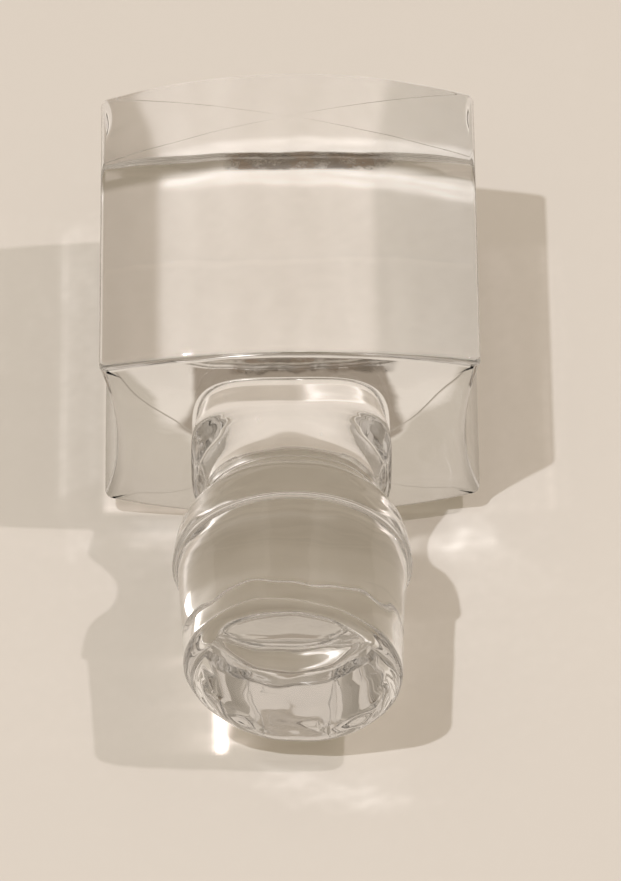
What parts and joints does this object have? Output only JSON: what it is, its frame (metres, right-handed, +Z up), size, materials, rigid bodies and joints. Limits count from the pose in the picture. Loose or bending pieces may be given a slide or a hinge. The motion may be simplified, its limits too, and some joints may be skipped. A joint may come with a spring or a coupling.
{
  "type": "glass stopper",
  "caption": "Clear glass stopper with a slab head, bowed faces, squarish root, rounded collar and tapered plug with a dished end, lying on its side.",
  "frame": {"origin": "centre of the bounding box's bottom: under the middle of the stopper's length, on the surface it lies on", "axes": "+Z up with the stopper lying on a broad face; the plug's axis is level along Y, with the plug towards -Y and the head towards +Y; +X across the head's width"},
  "size_m": [0.045, 0.0816, 0.0314],
  "materials": {
    "clear_glass": "fire-polished, clear and colourless, a little dirt along one lower edge"
  },
  "bodies": {
    "root": {"stopper": "clear_glass"}
  },
  "joints": []
}
